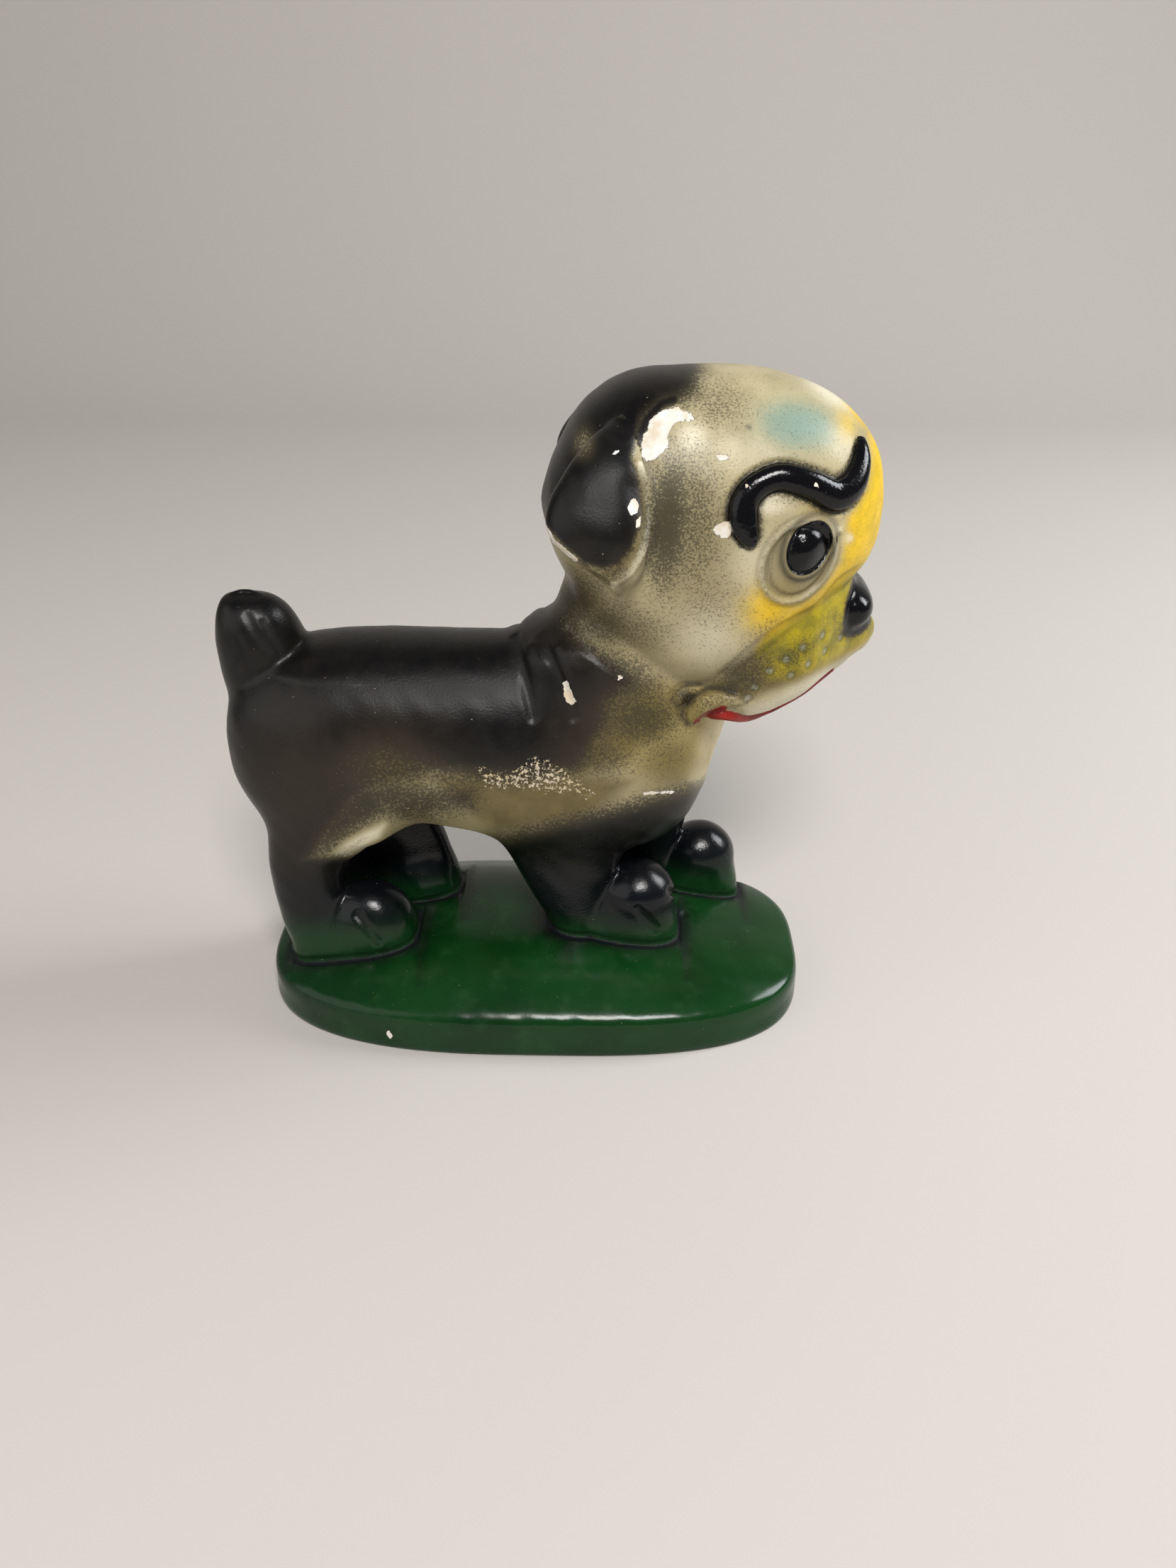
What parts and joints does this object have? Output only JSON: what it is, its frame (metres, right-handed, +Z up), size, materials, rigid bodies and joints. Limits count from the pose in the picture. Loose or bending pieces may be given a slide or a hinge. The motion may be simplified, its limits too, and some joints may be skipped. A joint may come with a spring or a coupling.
{
  "type": "chalkware puppy figure",
  "caption": "Painted plaster puppy standing in profile on a domed oval base, with a big round head, drooping ears, curled brows, a ball nose and an upright stub tail.",
  "frame": {"origin": "centre of the base's flat underside", "axes": "+Z up; +X the way the puppy faces; +Y toward its left flank"},
  "size_m": [0.1445, 0.067, 0.1494],
  "materials": {
    "green_gloss": "dark green glossy enamel over plaster, with small chips",
    "black_coat": "sprayed warm black over ivory, glossy, with scuffs to bare plaster",
    "black_gloss": "hand-painted glossy black",
    "cream_satin": "ivory ground with speckled grey-brown and yellow airbrush",
    "yellow_satin": "yellow airbrush with an olive-dark speckle",
    "red_lip": "thin hand-painted red line"
  },
  "bodies": {
    "root": {"base": "green_gloss", "trunk": "black_coat", "neck": "cream_satin", "tail": "black_coat", "head": "cream_satin", "muzzle": "yellow_satin", "lips": "red_lip", "nose": "black_gloss", "right_jowl": "cream_satin", "left_jowl": "cream_satin", "right_brow": "black_gloss", "left_brow": "black_gloss", "right_eye": "cream_satin", "left_eye": "cream_satin", "right_pupil": "black_gloss", "left_pupil": "black_gloss", "right_ear": "black_coat", "left_ear": "black_coat", "right_hind_leg": "black_coat", "left_hind_leg": "black_coat", "right_front_leg": "black_coat", "left_front_leg": "black_coat", "right_hind_paw": "green_gloss", "left_hind_paw": "green_gloss", "right_front_paw": "green_gloss", "left_front_paw": "green_gloss"}
  },
  "joints": []
}
